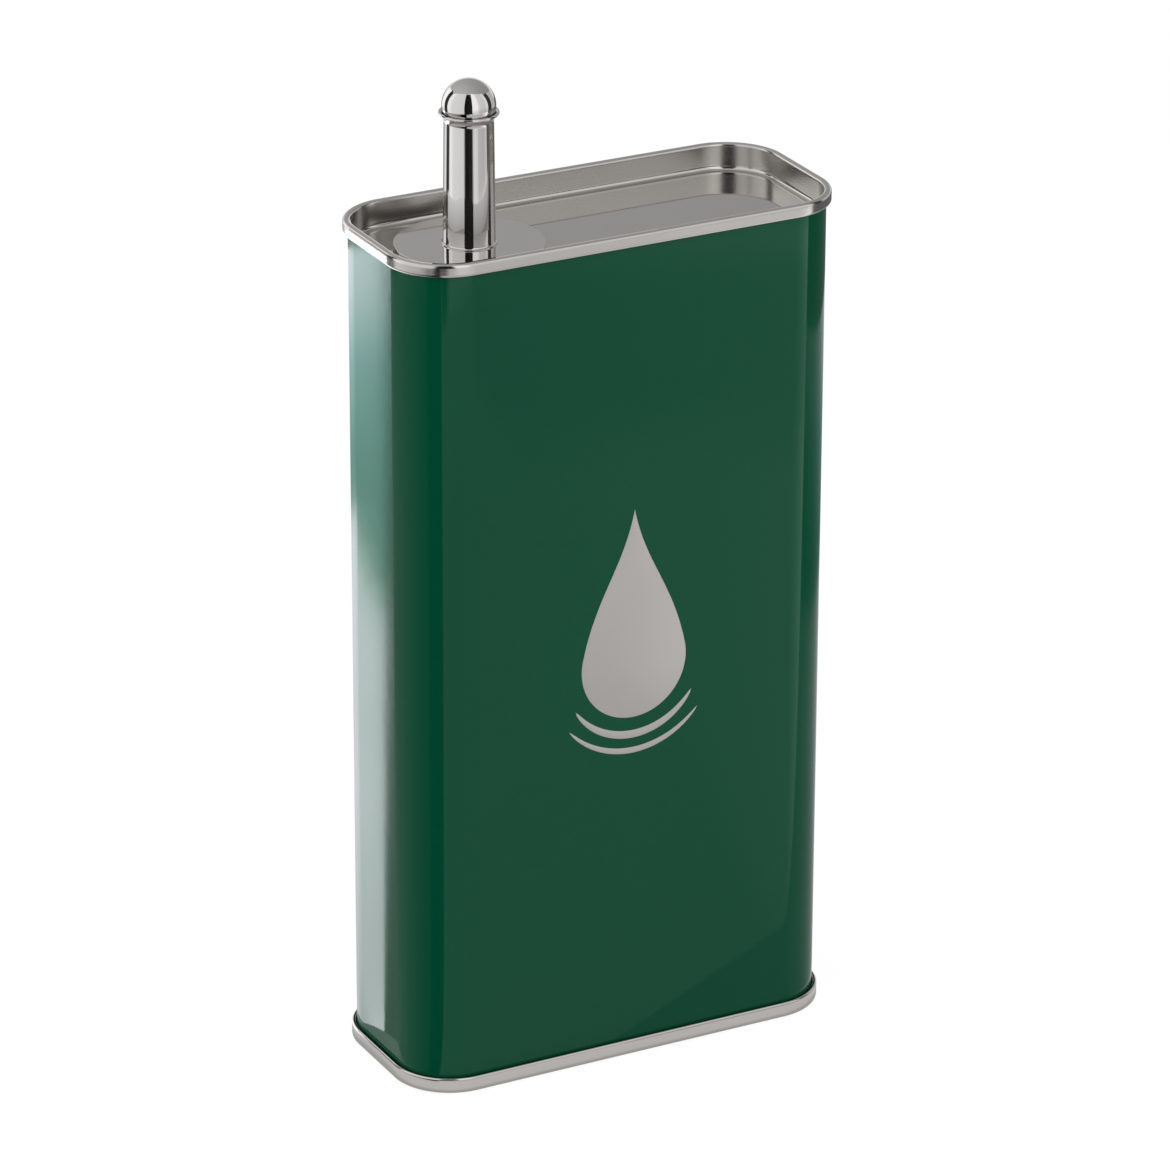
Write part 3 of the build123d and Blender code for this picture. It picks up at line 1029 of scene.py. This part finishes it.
leftBackTint = [
    (0, (1, 0.95, 1.03)), (0.254, (1, 0.96, 1.04)), (0.315, (0.97, 1, 1.04)),
    (0.355, (0.74, 1.21, 1.13)), (0.42, (0.76, 1.18, 1.15)), (0.476, (0.81, 1.13, 1.18)),
    (0.534, (0.97, 1.05, 1.14)), (0.58, (1, 1.02, 1.12)),
]
leftBackAskew = {
    "axis": -154.1, "width": 0.0105, "reach": 0.32, "spread": 0.13, "out": 0.05, "in": 0.045, "steps": 240,
}
floorCard("leftBackFloor", leftApex, -0.10,
          [(0, 0.55), (0.009, 0.9), (0.012, 4.4), (0.034, 3.7), (0.07, 3.8), (0.108, 4.1), (0.156, 4.6),
           (0.206, 4.6), (0.254, 4.9), (0.29, 4.7), (0.315, 3.9), (0.334, 2.0), (0.356, 1.6), (0.38, 1.6),
           (0.42, 2.0), (0.476, 2.65), (0.534, 4.3), (0.580, 5.3)],
          leftBackGlow, leftBackTint, leftBackAskew)
floorCard("leftRimFloor", leftApex, -0.10, [(0.580, 1.2), (0.62, 1.1), (2.5, 1.1)], leftBackGlow)
floorCard("rightFloor", rightApex, -0.12,
          [(0, 0.5), (0.012, 1), (0.36, 1), (0.42, 0.8), (0.53, 0.8), (0.555, 1.2), (0.575, 1.2)],
          [(16, 0.62), (28, 0.8), (40, 1.1), (51, 1.5), (60, 1.9)])
floorCard("rightBackFloor", rightApex, -0.12,
          [(0, 0.3), (0.009, 0.4), (0.012, 1), (0.33, 1), (0.40, 0.14), (0.575, 0.10)],
          [(60, 1.6), (68, 1.9), (87, 4.5), (118, 5)])
floorCard("rimFloor", (0, 0), -0.14, [(0.570, 1.4), (0.650, 1.35)],
          [(-180, 1.0), (-156, 1.0), (-148, 0.03), (-128, 0.03), (-122, 0.9), (-70, 0.9), (-64, 0.05),
           (-30, 0.05), (-27, 0.72), (46, 0.72), (50, 0.75), (76, 0.70), (81, 0.02), (145, 0.03),
           (151, 1.2), (180, 1.0)])
floorCard("tubeFloor", (0, 0), -0.14, [(0.650, 1), (0.80, 1)],
          [(-180, 1.0), (-148, 1.0), (-146, 0.05), (-126, 0.05), (-124, 1.25), (-112, 1.2), (-100, 0.98),
           (-46.8, 0.90), (-46.2, 0.01), (-14.6, 0.02), (-14, 0.95), (10, 0.92), (15, 0.66), (46, 0.6),
           (50, 0.78), (60, 0.72), (61, 0.04), (82, 0.05), (84, 0.62), (180, 1.0)])


def footCard(name, stops, level=-0.08, around=96):
    # rings of card round the foot of the tin, stops of distance in millimetres and brightness; darker close
    # to the tin, they are a painted contact shadow seen in reflections
    corners, glows = [], []
    flatX, flatY = bodyLength / 2 - bodyCorner, bodyWidth / 2 - bodyCorner
    for out, brightness in stops:
        corner = bodyCorner + chuck + out
        for k in range(around):
            a = 2 * pi * (k + 0.5) / around
            x = flatX * (1 if cos(a) > 0 else -1) + corner * cos(a)
            y = flatY * (1 if sin(a) > 0 else -1) + corner * sin(a)
            corners.append((x * mm, y * mm, level * mm))
            glows.append(brightness)
    return stageCard(name, corners, gridFaces(len(stops) - 1, around, True), glows)


# painted contact shadow on the floor round the tin, seen only in the rims' and sleeve's reflections
footCard("foot", [(0, 0.34), (0.8, 0.36), (1.2, 0.50), (3.4, 0.52), (4.2, 0.72), (8.6, 0.76)])


recess = {"foot": 0.05, "overRim": 1.3, "footGlow": 0.6, "topGlow": 1.05, "steps": 16}


def recessCard(name, start, end, brightness):
    # a card that glows, seen only in reflections, just inside the recess's front wall, which would darken the
    # foot of the tube: it paints the reflection there in the wall's place; seen from the spout's axis it runs
    # from one azimuth to another
    inside = chuck - tin["sheet"] / 2 - ends["topPanelBend"]
    halfWidth, halfLength = bodyWidth / 2 + inside, bodyLength / 2 + inside
    corner = bodyCorner + inside
    corners, glows, steps = [], [], recess["steps"]
    for k in range(steps + 1):
        out = direction(start + (end - start) * k / steps, 0)
        reach = min(halfWidth / max(-out.y, tiny), (halfLength + spoutX) / max(-out.x, tiny))
        x, y = spoutX + out.x * reach, out.y * reach
        nearX, nearY = x + halfLength - corner, y + halfWidth - corner
        if nearX < 0 and nearY < 0:
            # in the round corner
            a = atan2(nearY, nearX)
            x, y = -halfLength + corner + corner * cos(a), -halfWidth + corner + corner * sin(a)
        heights = (panelTop + recess["foot"], tin["height"] + recess["overRim"])
        corners += [(x * mm, y * mm, z * mm) for z in heights]
        glows += [brightness * recess["footGlow"], brightness * recess["topGlow"]]
    return stageCard(name, corners, [(2 * k, 2 * k + 1, 2 * k + 3, 2 * k + 2) for k in range(steps)], glows)


# painted reflections inside the recess: bright to the sides, dark in the middle
recessCard("leftRecess", -125, -44.7, 0.80)
recessCard("middleRecess", -44.7, -11.1, 0.02)
recessCard("rightRecess", -11.1, 60, 0.60)

# A pale dome, darker overhead, and more so to the right
studio = {
    "radius": 3.0, "cutBelow": -0.05, "segments": 64, "rings": 32,
    "left": 0.67, "right": 0.36, "horizon": 0.95, "from": 0.55, "to": 0.95,
}
domeMesh = bpy.data.meshes.new("room")
made = bmesh.new()
bmesh.ops.create_uvsphere(
    made, u_segments=studio["segments"], v_segments=studio["rings"], radius=studio["radius"])
bmesh.ops.delete(made, geom=[v for v in made.verts if v.co.z < studio["cutBelow"]], context="VERTS")
made.to_mesh(domeMesh)
made.free()
glossOnly("room", domeMesh)
roomPaint, tree, glow, output = glowMaterial("room")
place = addNode(tree, "ShaderNodeTexCoord")
split = addNode(tree, "ShaderNodeSeparateXYZ", {0: place.outputs["Object"]})
across = addNode(tree, "ShaderNodeMapRange", {
    "Value": split.outputs["X"], "From Min": -studio["radius"], "From Max": studio["radius"],
    "To Min": studio["left"], "To Max": studio["right"],
}, interpolation_type="SMOOTHSTEP")
rising = addNode(tree, "ShaderNodeMapRange", {
    "Value": split.outputs["Z"], "From Min": studio["from"], "From Max": studio["to"],
    "To Min": studio["horizon"], "To Max": across.outputs["Result"],
}, interpolation_type="SMOOTHSTEP")
tree.links.new(rising.outputs["Result"], glow.inputs["Strength"])
domeMesh.materials.append(roomPaint)

# Floor, white to the camera, that keeps the tin's shadow
paper = {
    "half": 6, "level": -0.0003, "tone": (0.9, 0.9, 0.9, 1),
    "seen": 1.06, "unseen": 0.62, "glowShare": 0.85,
}
half, level = paper["half"], paper["level"]
floorMesh = bpy.data.meshes.new("floor")
floorCorners = [(-half, -half, level), (half, -half, level), (half, half, level), (-half, half, level)]
floorMesh.from_pydata(floorCorners, [], [(0, 1, 2, 3)])
floor = bpy.data.objects.new("floor", floorMesh)
scene.collection.objects.link(floor)
paperPaint, tree, glow, output = glowMaterial("paper")
matte = addNode(tree, "ShaderNodeBsdfDiffuse", {"Color": paper["tone"]})
sight = addNode(tree, "ShaderNodeLightPath").outputs
inCamera, inGloss = sight["Is Camera Ray"], sight["Is Glossy Ray"]
brightness = mathNode(tree, "MULTIPLY_ADD", inCamera, paper["seen"] - paper["unseen"], paper["unseen"])
tree.links.new(brightness, glow.inputs["Strength"])
share = mathNode(tree, "MULTIPLY_ADD", inCamera, paper["glowShare"], inGloss, clamp=True)
mixed = addNode(tree, "ShaderNodeMixShader", {0: share, 1: matte.outputs[0], 2: glow.outputs[0]})
tree.links.new(mixed.outputs[0], output.inputs["Surface"])
floorMesh.materials.append(paperPaint)

surroundings = {"plain": (0.72, 0.72, 0.72, 1), "seen": (1, 1, 1, 1)}
world = bpy.data.worlds.new("surroundings")
scene.world = world
world.use_nodes = True
tree = world.node_tree
tree.nodes.clear()
sight = addNode(tree, "ShaderNodeLightPath").outputs
seen = mathNode(tree, "MAXIMUM", sight["Is Camera Ray"], sight["Is Glossy Ray"])
seen = mathNode(tree, "MAXIMUM", seen, sight["Is Transmission Ray"])
plain = addNode(tree, "ShaderNodeBackground", {"Color": surroundings["plain"]})
white = addNode(tree, "ShaderNodeBackground", {"Color": surroundings["seen"]})
mixed = addNode(tree, "ShaderNodeMixShader", {0: seen, 1: plain.outputs[0], 2: white.outputs[0]})
addNode(tree, "ShaderNodeOutputWorld", {"Surface": mixed.outputs[0]})

lamps = {"distance": 1.2, "size": (0.9, 1.2), "aim": (0, 0, 0.11)}


def softLamp(name, azimuth, elevation, power):
    # a broad lamp; its face isn't reflected, the cards are
    data = bpy.data.lights.new(name, "AREA")
    data.shape = "RECTANGLE"
    data.size, data.size_y = lamps["size"]
    data.energy = power
    lamp = bpy.data.objects.new(name, data)
    scene.collection.objects.link(lamp)
    out = direction(azimuth, elevation)
    lamp.location = Vector(lamps["aim"]) + out * lamps["distance"]
    lamp.rotation_euler = out.to_track_quat("Z", "Y").to_euler()
    lamp.visible_camera = False
    lamp.visible_glossy = False


softLamp("leftBox", -80, 25, 6)
softLamp("rightBox", 35, 30, 5)

scene.view_settings.view_transform = "Standard"
print("stage set")
